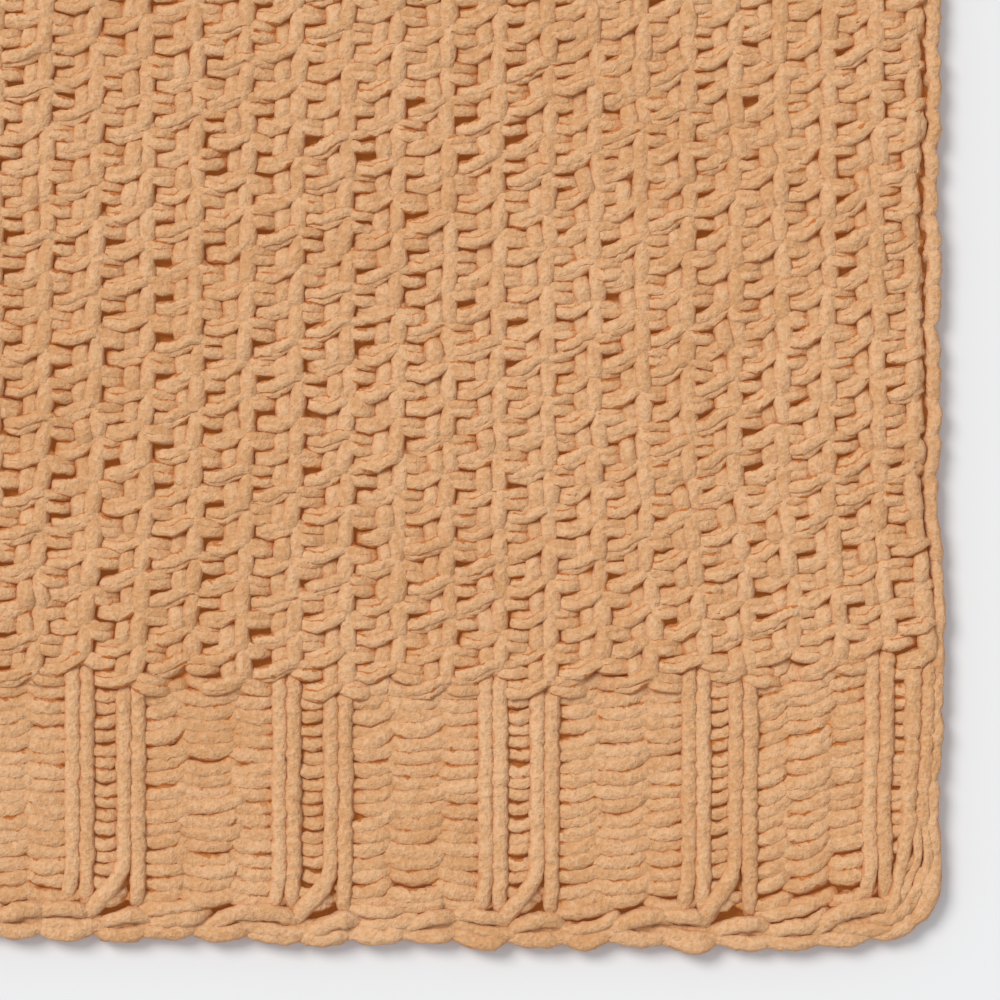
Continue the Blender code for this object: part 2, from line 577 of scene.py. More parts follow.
@dataclass(frozen=True)
class ChenilleFinish:
    """Matt chenille yarn: a short soft pile, with shade painted redder and darker into the hollows and
    creases between the stitches, and a faint painted glow there.
    """

    name: str
    pile: Colour = (0.776, 0.463, 0.254)
    pile_shade: Colour = (0.618, 0.308, 0.130)
    # Painted shade, redder and darker: on the flanks under the crests, in the hollows, and in the creases on
    # the strands' sides.
    painted_flank_shade: Colour = (0.580, 0.215, 0.050)
    painted_hollow_shade: Colour = (0.450, 0.150, 0.032)
    crease: Colour = (0.470, 0.145, 0.026)
    # Painted glow, an emission in the creases and the hollows, and no glow.
    painted_glow: Colour = (0.145, 0.049, 0.008)
    no_light: Colour = (0.0, 0.0, 0.0)
    # Sizes of the pile's grain, of its tufts and of a slow drift of tone.
    grain_size: float = 0.8 * MM
    tuft_size: float = 2.4 * MM
    drift_size: float = 30.0 * MM
    noise_roughness: float = 0.6
    # Shares in the tone of the grain, the tufts, the drift and the strand's own shade, and where the
    # tone turns from shade to pile.
    tone_shares: tuple = (2.2, 1.0, 0.6, 0.3)
    tone_low: float = 1.45
    tone_high: float = 2.65
    # Depths under the crests at which the painted flank shade and the painted hollow shade are reached, and
    # how raggedly.
    flank_depth: float = 2.3 * MM
    hollow_depth: float = 3.9 * MM
    ragged: float = 2.0 * MM
    # Where across a strand its painted crease shade starts and is full, and how much the pile breaks it up.
    crease_from: float = 0.68
    crease_full: float = 1.05
    crease_breaks: float = 1.2
    # Painted glow, an emission standing in for light through the pile: shares of the creases and of the
    # depth, and where it starts.
    glow_in_crease: float = 0.3
    glow_in_depth: float = 0.7
    glow_from: float = 0.3 * MM
    bump: float = 0.9
    bump_height: float = 1.65 * MM
    bump_grain: float = 0.7
    bump_tuft: float = 0.5
    roughness: float = 0.95
    sheen: float = 0.22
    sheen_roughness: float = 0.6
    sheen_tint: Colour = (1.0, 0.86, 0.72)
    specular: float = 0.15

    def material(self) -> bpy.types.Material:
        """Build the finish.

        Returns:
            The node material.
        """
        shader = Shader(self.name)
        grain, tuft, drift = (
            shader.noise(size, detail, self.noise_roughness)
            for size, detail in ((self.grain_size, 3.0), (self.tuft_size, 2.0), (self.drift_size, 1.0))
        )
        by_grain, by_tuft, by_drift, by_strand = self.tone_shares
        tone = grain * by_grain + tuft * by_tuft + drift * by_drift
        tone = shader.ranged(tone + shader.attribute("yarn_shade") * by_strand, self.tone_low, self.tone_high)
        # Painted shade by depth under the crest: the flank colour, then the hollow colour, with ragged edges.
        height = shader.add("ShaderNodeSeparateXYZ", None, {0: shader.place})["Z"]
        depth = shader.attribute("yarn_crest") - height
        low = shader.mix(shader.ranged(depth, self.flank_depth, self.hollow_depth), self.painted_flank_shade, self.painted_hollow_shade)
        ragged = depth + (tuft - 0.5) * self.ragged + (grain - 0.5) * self.ragged
        colour = shader.mix(tone, self.pile_shade, self.pile)
        colour = shader.mix(shader.ranged(ragged, 0.0, self.flank_depth), colour, low)
        # Painted crease shade on the strands' sides, broken up by the pile.
        broken = (grain - 0.5) * self.crease_breaks + (tuft - 0.5) * self.crease_breaks
        side = shader.ranged(shader.attribute("yarn_side") + broken, self.crease_from, self.crease_full)
        crease = side * shader.attribute("yarn_crease")
        # Painted glow in the creases and the depths.
        deep = shader.ranged(depth, self.glow_from, self.hollow_depth)
        glow = crease * self.glow_in_crease + deep * self.glow_in_depth
        pile = grain * self.bump_grain + tuft * self.bump_tuft
        bump = {"Strength": self.bump, "Distance": self.bump_height, "Height": pile}
        return shader.surface(
            {
                "Base Color": shader.mix(crease, colour, self.crease),
                "Roughness": self.roughness,
                "Sheen Weight": self.sheen,
                "Sheen Roughness": self.sheen_roughness,
                "Sheen Tint": self.sheen_tint,
                "Specular IOR Level": self.specular,
                "Emission Color": shader.mix(glow, self.no_light, self.painted_glow),
                "Emission Strength": 1.0,
                "Normal": shader.add("ShaderNodeBump", None, bump)[0],
            }
        )


@dataclass(frozen=True)
class PlainFinish:
    """A single soft matt finish, with a faint drift of tone."""

    name: str
    light: Colour = (0.812, 0.812, 0.820)
    dark: Colour = (0.782, 0.782, 0.790)
    drift_size: float = 0.4
    roughness: float = 0.9
    specular: float = 0.2

    def material(self) -> bpy.types.Material:
        """Build the finish.

        Returns:
            The node material.
        """
        shader = Shader(self.name)
        colour = shader.mix(shader.noise(self.drift_size, 2.0, 0.5), self.dark, self.light)
        dress = {"Base Color": colour, "Roughness": self.roughness, "Specular IOR Level": self.specular}
        return shader.surface(dress)


# ---- Yarn ----


class YarnTree(Nodes):
    """Geometry Nodes that turn yarn paths into soft round yarn."""

    given: tuple = (
        ("Stitches", "Collection"),
        ("Section", "Object"),
        ("Sway", "Float"),
        ("Sway Size", "Float"),
        ("Swell", "Float"),
        ("Swell Size", "Float"),
        ("Pile", "Float"),
        ("Pile Size", "Float"),
        ("Seed", "Float"),
        ("Material", "Material"),
    )

    def __init__(self, name: str, laid_as_stitches: bool) -> None:
        """Build the tree.

        Args:
            name: the tree's name.
            laid_as_stitches: the geometry is points, and each takes a copy of a stitch's paths.
        """
        super().__init__(bpy.data.node_groups.new(name, "GeometryNodeTree"))
        interface = self.tree.interface
        interface.new_socket("Geometry", in_out="OUTPUT", socket_type="NodeSocketGeometry")
        for input_name, kind in (("Geometry", "Geometry"), *self.given):
            interface.new_socket(input_name, in_out="INPUT", socket_type="NodeSocket" + kind)
        self.entry = self.add("NodeGroupInput")
        paths = self.entry["Geometry"]
        if laid_as_stitches:
            paths = self.stitches_on(paths)
        self.add("NodeGroupOutput", None, {0: self.spun(paths)})
        self.identifiers = {
            item.name: item.identifier for item in interface.items_tree if item.in_out == "INPUT"
        }

    def attribute(self, name: str, kind: str) -> Value:
        """Read a named attribute of the geometry."""
        reader = self.add("GeometryNodeInputNamedAttribute", {"data_type": kind}, {"Name": name}).node
        return Value(self, next(out for out in reader.outputs if out.enabled and out.name == "Attribute"))

    def noise(self, size: str) -> Made:
        """Add a noise in space.

        Args:
            size: name of the input that says how large its features are.

        Returns:
            The noise.
        """
        place = self.add("GeometryNodeInputPosition")[0]
        inputs = {"Vector": place, "W": self.entry["Seed"], "Scale": 1.0 / self.entry[size], "Detail": 1.0}
        return self.add("ShaderNodeTexNoise", {"noise_dimensions": "4D"}, inputs)

    def wandering(self, geometry: Value, amount: str, size: str) -> Value:
        """Let geometry wander in space.

        Args:
            geometry: what is moved.
            amount: name of the input that says how far.
            size: name of the input that says over what distance.

        Returns:
            The moved geometry.
        """
        inputs = {0: self.noise(size)["Color"], 1: (0.5, 0.5, 0.5)}
        centred = self.add("ShaderNodeVectorMath", {"operation": "SUBTRACT"}, inputs)[0]
        inputs = {0: centred, "Scale": self.entry[amount]}
        offset = self.add("ShaderNodeVectorMath", {"operation": "SCALE"}, inputs)[0]
        return self.add("GeometryNodeSetPosition", None, {0: geometry, "Offset": offset})[0]

    def stitches_on(self, points: Value) -> Value:
        """Lay stitches on points.

        Args:
            points: carry the turn, the size and the variant of each stitch.

        Returns:
            The stitches' paths.
        """
        inputs = {"Collection": self.entry["Stitches"], "Separate Children": True, "Reset Children": True}
        stitches = self.add("GeometryNodeCollectionInfo", None, inputs)[0]
        turn = self.add("ShaderNodeCombineXYZ", None, {"Z": self.attribute("turn", "FLOAT")})[0]
        inputs = {
            "Points": points,
            "Instance": stitches,
            "Pick Instance": True,
            "Instance Index": self.attribute("variant", "INT"),
            "Rotation": turn,
            "Scale": self.attribute("size", "FLOAT_VECTOR"),
        }
        laid = self.add("GeometryNodeInstanceOnPoints", None, inputs)[0]
        return self.add("GeometryNodeRealizeInstances", None, {0: laid})[0]

    def spun(self, paths: Value) -> Value:
        """Spin yarn along paths.

        Args:
            paths: a mesh of edges that carries the yarn's radius.

        Returns:
            The yarn, as a mesh with its material.
        """
        lines = self.add("GeometryNodeMeshToCurve", None, {0: paths})[0]
        swayed = self.wandering(lines, "Sway", "Sway Size")
        swell = (self.noise("Swell Size")["Fac"] - 0.5) * self.entry["Swell"] + 1.0
        radius = swell * self.attribute("yarn_radius", "FLOAT")
        sized = self.add("GeometryNodeSetCurveRadius", None, {0: swayed, "Radius": radius})[0]
        upright = self.add("GeometryNodeSetCurveNormal", {"mode": "Z_UP"}, {0: sized})[0]
        section = self.add("GeometryNodeObjectInfo", None, {"Object": self.entry["Section"]})["Geometry"]
        ring = self.add("GeometryNodeMeshToCurve", None, {0: section})[0]
        inputs = {0: upright, 1: ring, "Scale": radius, "Fill Caps": True}
        tube = self.add("GeometryNodeCurveToMesh", None, inputs)[0]
        fuzzy = self.wandering(tube, "Pile", "Pile Size")
        smooth = self.add("GeometryNodeSetShadeSmooth", None, {0: fuzzy})[0]
        real = self.add("GeometryNodeRealizeInstances", None, {0: smooth})[0]
        return self.add("GeometryNodeSetMaterial", None, {0: real, "Material": self.entry["Material"]})[0]


@dataclass
class Spinner:
    """Turns yarn paths, or points that stitches are laid on, into plain yarn meshes."""

    material: bpy.types.Material
    sway: float = 1.6 * MM
    sway_size: float = 14.0 * MM
    swell: float = 0.5
    swell_size: float = 5.0 * MM
    pile: float = 2.3 * MM
    pile_size: float = 2.6 * MM
    seed: float = 7.0
    # Section of a yarn pressed among its neighbours, for a radius of one: a broad flattened top.
    # Columns: across, up.
    outline: tuple = (
        (-1.00, 0.00), (-0.93, 0.52), (-0.66, 0.80), (0.00, 0.88), (0.66, 0.80), (0.93, 0.52),
        (1.00, 0.00), (0.00, -0.70),
    )

    def __post_init__(self) -> None:
        """Build the two trees and the yarn's section."""
        self.paths_tree = YarnTree("spin_yarn", laid_as_stitches=False)
        self.stitches_tree = YarnTree("lay_stitches", laid_as_stitches=True)
        ring = bpy.data.meshes.new("yarn_section")
        corners = [(across, -up, 0.0) for across, up in self.outline]
        ring.from_pydata(corners, [(i, (i + 1) % len(corners)) for i in range(len(corners))], [])
        # The place across the section of each corner, by which painted crease shade marks the yarn's sides
        # and underside.
        mark(ring, "yarn_side", [1.0 if up < 0.0 else abs(across) for across, up in self.outline])
        self.section = bpy.data.objects.new("yarn_section", ring)

    def put_away(self) -> None:
        """Remove the section once all the yarn is spun."""
        bpy.data.objects.remove(self.section)

    def spin(
        self,
        name: str,
        source: bpy.types.Mesh,
        stitches: bpy.types.Collection | None = None,
        unevenness: float = 1.0,
    ) -> bpy.types.Object:
        """Make one piece of yarn.

        Args:
            name: the finished piece's name.
            source: a mesh of paths, or of points that stitches are laid on.
            stitches: the stitch paths to lay on the points.
            unevenness: how strongly the yarn sways and swells.

        Returns:
            The piece, as a plain mesh at the origin.
        """
        yarn_tree = self.stitches_tree if stitches else self.paths_tree
        holder = bpy.data.objects.new(name + "_paths", source)
        bpy.context.scene.collection.objects.link(holder)
        modifier = holder.modifiers.new("yarn", "NODES")
        modifier.node_group = yarn_tree.tree
        values = {
            "Stitches": stitches,
            "Section": self.section,
            "Sway": self.sway * unevenness,
            "Sway Size": self.sway_size,
            "Swell": self.swell * unevenness,
            "Swell Size": self.swell_size,
            "Pile": self.pile,
            "Pile Size": self.pile_size,
            "Seed": self.seed,
            "Material": self.material,
        }
        for input_name, value in values.items():
            modifier[yarn_tree.identifiers[input_name]] = value
        holder.update_tag()
        evaluated = holder.evaluated_get(bpy.context.evaluated_depsgraph_get())
        mesh = bpy.data.meshes.new_from_object(evaluated)
        mesh.name = name
        bpy.data.objects.remove(holder)
        piece = bpy.data.objects.new(name, mesh)
        bpy.context.scene.collection.objects.link(piece)
        log.info("%s: %d triangles", name, sum(len(face.vertices) - 2 for face in mesh.polygons))
        return piece


def rounded(path: list[Point], pieces: int) -> list[Point]:
    """A path that turns more gently through the same points.

    Args:
        path: its points.
        pieces: how many pieces each stretch between two points is divided into.

    Returns:
        The points of the gentler path.
    """
    ends = [path[0], *path, path[-1]]
    points = [path[0]]
    for before, start, end, after in zip(ends, ends[1:], ends[2:], ends[3:]):
        for step in range(1, pieces + 1):
            t = step / pieces
            weights = (
                (-t + 2 * t**2 - t**3) / 2,
                (2 - 5 * t**2 + 3 * t**3) / 2,
                (t + 4 * t**2 - 3 * t**3) / 2,
                (t**3 - t**2) / 2,
            )
            corners = zip(before, start, end, after)
            points.append(tuple(sum(w * at for w, at in zip(weights, column)) for column in corners))
    return points


class Skein:
    """Collects yarn paths, each a list of points with a place and a radius."""

    def __init__(self, seed: int, crest: float = 8.3 * MM, crease: float = 1.0, pieces: int = 1) -> None:
        """Start empty.

        Args:
            seed: fixes the shades of the strands.
            crest: height of the fabric's crests here, below which the yarn's colour is painted with shade.
            crease: how strongly painted crease shade marks the yarn's sides, where it meets its neighbours.
            pieces: how finely the stretches between the points of its paths are divided.
        """
        self.pieces = pieces
        self.crest = crest
        self.crease = crease
        self.points: list[Point] = []
        self.edges: list[tuple[int, int]] = []
        self.shades: list[float] = []
        self.painted_crease_shades: list[float] = []
        self.random = np.random.default_rng(seed)

    def lay(self, path: list[Point], crease: float = 1.0) -> None:
        """Add one strand along a path.

        Args:
            path: its points.
            crease: how strongly painted crease shade marks its sides, next to the skein's other strands.
        """
        path = rounded(path, self.pieces)
        first = len(self.points)
        self.points += path
        self.edges += [(i, i + 1) for i in range(first, len(self.points) - 1)]
        self.shades += [float(self.random.random())] * len(path)
        self.painted_crease_shades += [self.crease * crease] * len(path)

    def mesh(self, name: str) -> bpy.types.Mesh:
        """Make a mesh of edges that carries each point's looks.

        Args:
            name: the mesh's name.

        Returns:
            The mesh.
        """
        mesh = bpy.data.meshes.new(name)
        mesh.from_pydata([point[:3] for point in self.points], self.edges, [])
        mark(mesh, "yarn_radius", [point[3] for point in self.points])
        mark(mesh, "yarn_shade", self.shades)
        mark(mesh, "yarn_crease", self.painted_crease_shades)
        mark(mesh, "yarn_crest", [self.crest] * len(self.points))
        return mesh


@dataclass
class StitchPlan:
    """Places for one kind of stitch, each a little uneven, with its turn, size and variant."""

    variants: int
    place_jitter: float
    size_jitter: float
    turn_jitter: float
    places: list[tuple[float, float, float]] = field(default_factory=list)
    turns: list[float] = field(default_factory=list)
    sizes: list[float] = field(default_factory=list)
    picks: list[int] = field(default_factory=list)

    def add(
        self, random: np.random.Generator, here: Vector, turn: float, size: tuple[float, float], group: int
    ) -> None:
        """Add one place.

        Args:
            random: draws the place's unevenness.
            here: the middle of the stitch on the floor.
            turn: the angle at which its course runs.
            size: how wide and how tall it is, next to the stitch in the book.
            group: which group of variants in the book it is picked from.
        """
        shift = Vector(random.normal(0.0, self.place_jitter, 2))
        jitters = (self.size_jitter, self.size_jitter, 0.5 * self.size_jitter)
        self.sizes += [share * random.normal(1.0, jitter) for share, jitter in zip((*size, 1.0), jitters)]
        self.picks.append(group * self.variants + int(random.integers(self.variants)))
        self.places.append((*(here + shift), 0.0))
        self.turns.append(turn + random.normal(0.0, self.turn_jitter))

    def mesh(self, name: str) -> bpy.types.Mesh:
        """Make a mesh of points that carries each stitch's turn, size and variant.

        Args:
            name: the mesh's name.

        Returns:
            The mesh.
        """
        mesh = bpy.data.meshes.new(name)
        mesh.from_pydata(self.places, [], [])
        mark(mesh, "turn", self.turns)
        mark(mesh, "variant", self.picks, "INT")
        mark(mesh, "size", self.sizes, "FLOAT_VECTOR")
        return mesh


class StitchBook:
    """A collection of stitch paths that points pick from, removed once the yarn is spun."""

    def __init__(self, name: str) -> None:
        """Start an empty book."""
        self.collection = bpy.data.collections.new(name)

    def add(self, skein: Skein) -> None:
        """Add one stitch; points pick it by its place in the book."""
        label = f"{self.collection.name}_{len(self.collection.objects):02d}"
        self.collection.objects.link(bpy.data.objects.new(label, skein.mesh(label)))

    def close(self) -> None:
        """Remove the stitch paths."""
        for obj in list(self.collection.objects):
            bpy.data.objects.remove(obj)
        bpy.data.collections.remove(self.collection)


# ---- The blanket's sub-assemblies ----


@dataclass
class GroundCloth:
    """The thin ground of the fabric, under the stitches that stand on it."""

    lay: ClothLay
    inset: float = 2.4 * MM
    thickness: float = 4.4 * MM
    edge_thickness: float = 1.8 * MM
    edge_width: float = 12.0 * MM
    spacing: float = 5.0 * MM
    # Height of the crests over its top, so that its top takes the painted hollow shade.
    crest: float = 8.3 * MM

    def build(self, finish: bpy.types.Material) -> bpy.types.Object:
        """Make the closed sheet, thinner along its cast-on edge.

        Args:
            finish: its material.

        Returns:
            The sheet, with its underside on the floor.
        """
        columns, rows = (round(size / self.spacing) + 1 for size in (self.lay.width, self.lay.length))
        upper = []
        for row in range(rows):
            along = self.inset + row / (rows - 1) * (self.lay.length - 2 * self.inset)
            share = ease(self.edge_width, self.edge_width + 2 * self.spacing, along)
            height = self.edge_thickness + share * (self.thickness - self.edge_thickness)
            for column in range(columns):
                across = self.inset + column / (columns - 1) * (self.lay.width - 2 * self.inset)
                upper.append((*self.lay.place(across, along), height))
        below = len(upper)
        corners = [row * columns + column for row in range(rows - 1) for column in range(columns - 1)]
        tops = [(i, i + 1, i + 1 + columns, i + columns) for i in corners]
        rim = [
            *range(columns - 1),
            *range(columns - 1, below - 1, columns),
            *range(below - 1, below - columns, -1),
            *range(below - columns, 0, -columns),
        ]
        faces = tops + [tuple(below + i for i in reversed(top)) for top in tops]
        faces += [(below + i, below + k, k, i) for i, k in zip(rim, rim[1:] + rim[:1])]
        mesh = bpy.data.meshes.new("ground_cloth")
        mesh.from_pydata(upper + [(x, y, 0.0) for x, y, _ in upper], [], faces)
        mark(mesh, "yarn_crest", [self.crest] * below + [0.0] * below)
        mesh.materials.append(finish)
        piece = bpy.data.objects.new("ground_cloth", mesh)
        bpy.context.scene.collection.objects.link(piece)
        return piece


@dataclass
class TuckField:
    """The field: in each stitch a fat tuck strand crosses a pair of legs, and two bars sink beside it."""

    lay: ClothLay
    seed: int = 11
    stitch_seeds: int = 31
    wale_seeds: int = 977
    variants: int = 8
    strips: int = 5
    turn_jitter: float = 0.05
    place_jitter: float = 0.35 * MM
    size_jitter: float = 0.05
    # Unevenness of a strand: its least and greatest share of the plain size, how it leans and, in mm,
    # how it shifts and sinks.
    thinnest: float = 0.93
    fattest: float = 1.05
    lean_jitter: float = 0.05
    shift_jitter: float = 0.3
    # The strands that cross the stitches ride over the legs, and their sides get more painted crease shade.
    cross_crease: float = 1.65
    leg_crease: float = 0.55
    leg_sink: float = 0.6
    # How far a leg shifts across, next to how far a crossing strand shifts along.
    leg_shift: float = 0.5
    # How fat each kind of strand is next to its table, by the ends of the names.
    swells: tuple = (("leg", 1.08), ("bar", 0.93), ("", 0.97))
    # Endings of the names of shortened strands, with how far across these reach, in mm.
    shortened: tuple = (("_end", -0.4), ("_short", -0.2))
    # How a shortened strand dives at its end: across, along and up, in mm, and its share of the radius.
    dive: tuple = (1.6, 0.2, -2.8, 0.8)
    # Columns of the strands: across, along, height and radius, in mm from the top of the seam.
    # The tuck strand, from under the wale on the left, over the head: its upper end of yarn.
    leaf_top: tuple = (
        (-13.20, 1.19, 1.98, 1.49), (-12.04, 1.06, 3.30, 1.72), (-11.05, 0.99, 4.95, 1.91),
        (-10.23, 0.99, 6.27, 2.05), (-8.91, 1.06, 6.80, 2.18), (-6.60, 1.25, 6.90, 2.28),
        (-4.29, 2.05, 6.90, 2.31), (-1.98, 3.27, 6.93, 2.28), (0.00, 4.06, 6.93, 2.21),
        (1.65, 4.26, 6.86, 2.08), (3.30, 4.09, 6.47, 1.98), (4.95, 3.70, 5.12, 1.72),
    )
    # Its lower end of yarn.
    leaf_foot: tuple = (
        (-13.20, -0.20, 1.98, 1.49), (-12.04, -0.26, 3.30, 1.72), (-11.05, -0.33, 4.95, 1.91),
        (-10.23, -0.40, 6.27, 2.05), (-8.91, -0.56, 6.80, 2.11), (-6.77, -0.79, 6.90, 2.15),
        (-4.79, -0.59, 6.96, 2.15), (-2.64, 0.59, 7.03, 2.08), (-0.49, 1.98, 7.03, 2.01),
        (1.16, 2.71, 6.80, 1.95), (2.81, 2.97, 5.94, 1.82), (3.96, 2.90, 4.62, 1.65),
    )
    # The right leg, from over the head to over the next stitch.
    right_leg: tuple = (
        (2.90, 4.62, 4.95, 2.05), (2.87, 3.30, 6.14, 2.31), (2.81, 1.98, 6.67, 2.48),
        (2.71, 0.33, 6.80, 2.57), (2.57, -1.32, 6.80, 2.67), (2.38, -3.30, 6.80, 2.81),
        (2.31, -5.61, 6.80, 2.84), (2.18, -7.92, 6.70, 2.71), (2.05, -9.90, 5.94, 2.44),
        (1.98, -11.22, 4.29, 2.11),
    )
    # The one leg of the right side wale, beside the border.
    side_leg: tuple = (
        (-1.90, 3.5, 3.4, 2.2), (-2.00, 1.2, 5.0, 2.6), (-2.10, -1.4, 6.2, 3.0),
        (-2.20, -4.4, 6.4, 3.2), (-2.20, -7.4, 6.4, 3.2), (-2.20, -9.9, 5.9, 3.0),
        (-2.10, -12.0, 4.6, 2.6), (-2.00, -13.6, 3.2, 2.2),
    )
    # The left leg, from under the tuck strand to over the next stitch.
    left_leg: tuple = (
        (-1.91, 0.66, 2.97, 1.98), (-2.11, -0.66, 4.16, 2.18), (-2.24, -1.98, 5.61, 2.44),
        (-2.31, -3.47, 6.67, 2.67), (-2.34, -5.28, 6.80, 2.81), (-2.28, -7.26, 6.80, 2.77),
        (-2.15, -8.91, 6.47, 2.57), (-1.98, -10.40, 5.28, 2.31), (-1.82, -11.71, 3.63, 1.98),
    )
    # The two ends of yarn that sink to the right, under the next wale.
    low_bar: tuple = (
        (1.32, 0.59, 5.61, 1.78), (3.14, 0.00, 6.86, 2.15), (5.12, -0.59, 7.06, 2.31),
        (7.10, -0.76, 7.00, 2.34), (9.08, -0.66, 6.67, 2.31), (10.89, -0.53, 6.07, 2.24),
        (12.38, -0.40, 4.95, 2.05), (14.19, -0.20, 2.64, 1.65),
    )
    high_bar: tuple = (
        (1.16, 2.7, 5.61, 1.72), (3.14, 2.9, 6.86, 1.95), (5.12, 2.6, 7.00, 2.05),
        (7.10, 2.4, 6.80, 2.08), (9.08, 2.3, 6.40, 2.05), (10.89, 2.3, 5.74, 1.98),
        (12.38, 2.2, 4.62, 1.85), (14.19, 2.0, 2.64, 1.58),
    )

    def stitch(self, number: int, with_legs: bool, cut: Cut) -> Skein:
        """The paths of one stitch, a little different for each number.

        Args:
            number: picks the stitch's unevenness.
            with_legs: whether it has legs; the first course stands on the border instead.
            cut: which part of it is laid.

        Returns:
            The stitch's strands.
        """
        skein = Skein(self.seed + number)
        random = np.random.default_rng(self.seed * self.stitch_seeds + number)
        for name in cut.value:
            leg = name.endswith("leg")
            if leg and not with_legs:
                continue
            kind_swell = next(size for end, size in self.swells if name.endswith(end))
            swell = random.uniform(self.thinnest, self.fattest) * kind_swell
            lean = random.normal(0.0, self.lean_jitter)
            lift, sink = random.normal(0.0, self.shift_jitter), random.normal(0.0, self.shift_jitter)
            path = []
            for across, along, height, radius in self.strand(name):
                if leg:
                    x, y = across - lean * along + self.leg_shift * lift, along
                    z = height - self.leg_sink + sink
                else:
                    x, y = across, along + lean * across + lift
                    z = height + sink
                path.append((x * MM, y * MM, z * MM, radius * swell * MM))
            skein.lay(path, self.leg_crease if leg else self.cross_crease)
        return skein

    def strand(self, name: str) -> tuple:
        """Find a strand by its name; a shortened one dives under the edge's chain.

        Args:
            name: its table's name, with the ending of a shortened one.

        Returns:
            Its points.
        """
        for shortening, limit in self.shortened:
            if name.endswith(shortening):
                whole = getattr(self, name.removesuffix(shortening))
                kept = [point for point in whole if point[0] < limit]
                across, along, height, radius = kept[-1]
                on_across, on_along, on_up, share = self.dive
                last = (across + on_across, along + on_along, height + on_up, radius * share)
                return (*kept, last)
        return getattr(self, name)

    def build(self, spinner: Spinner) -> list[bpy.types.Object]:
        """Lay the stitches wale by wale and spin them, in strips of wales.

        Args:
            spinner: makes the pieces.

        Returns:
            The pieces, from the right.
        """
        book = StitchBook("tuck_stitches")
        for with_legs in (True, False):
            for cut in Cut:
                for number in range(self.variants):
                    book.add(self.stitch(number, with_legs, cut))
        pieces = []
        per_strip = math.ceil(self.lay.wales / self.strips)
        for strip in range(self.strips):
            wales = range(strip * per_strip, min(self.lay.wales, (strip + 1) * per_strip))
            places = self.plan(wales).mesh("field_places")
            pieces.append(spinner.spin(f"field_strip_{strip + 1}", places, book.collection))
        book.close()
        return pieces

    def plan(self, wales: range) -> StitchPlan:
        """Place the stitches of some wales.

        Args:
            wales: their numbers from the right.

        Returns:
            The places.
        """
        lay = self.lay
        plan = StitchPlan(self.variants, self.place_jitter, self.size_jitter, self.turn_jitter)
        cuts = list(Cut)
        for wale in wales:
            random = np.random.default_rng(self.seed * self.wale_seeds + wale)
            for course in range(lay.courses):
                number = lay.course_of(wale, course)
                along = lay.course(number)
                here, turn = lay.frame_at(lay.seam(wale), along)
                tall = (lay.course(number + 1) - along) / lay.course_pitch
                group = cuts.index(Cut.at(wale, lay.wales, course)) + (len(cuts) if course == 0 else 0)
                plan.add(random, here, turn, (1.0, tall), group)
        return plan


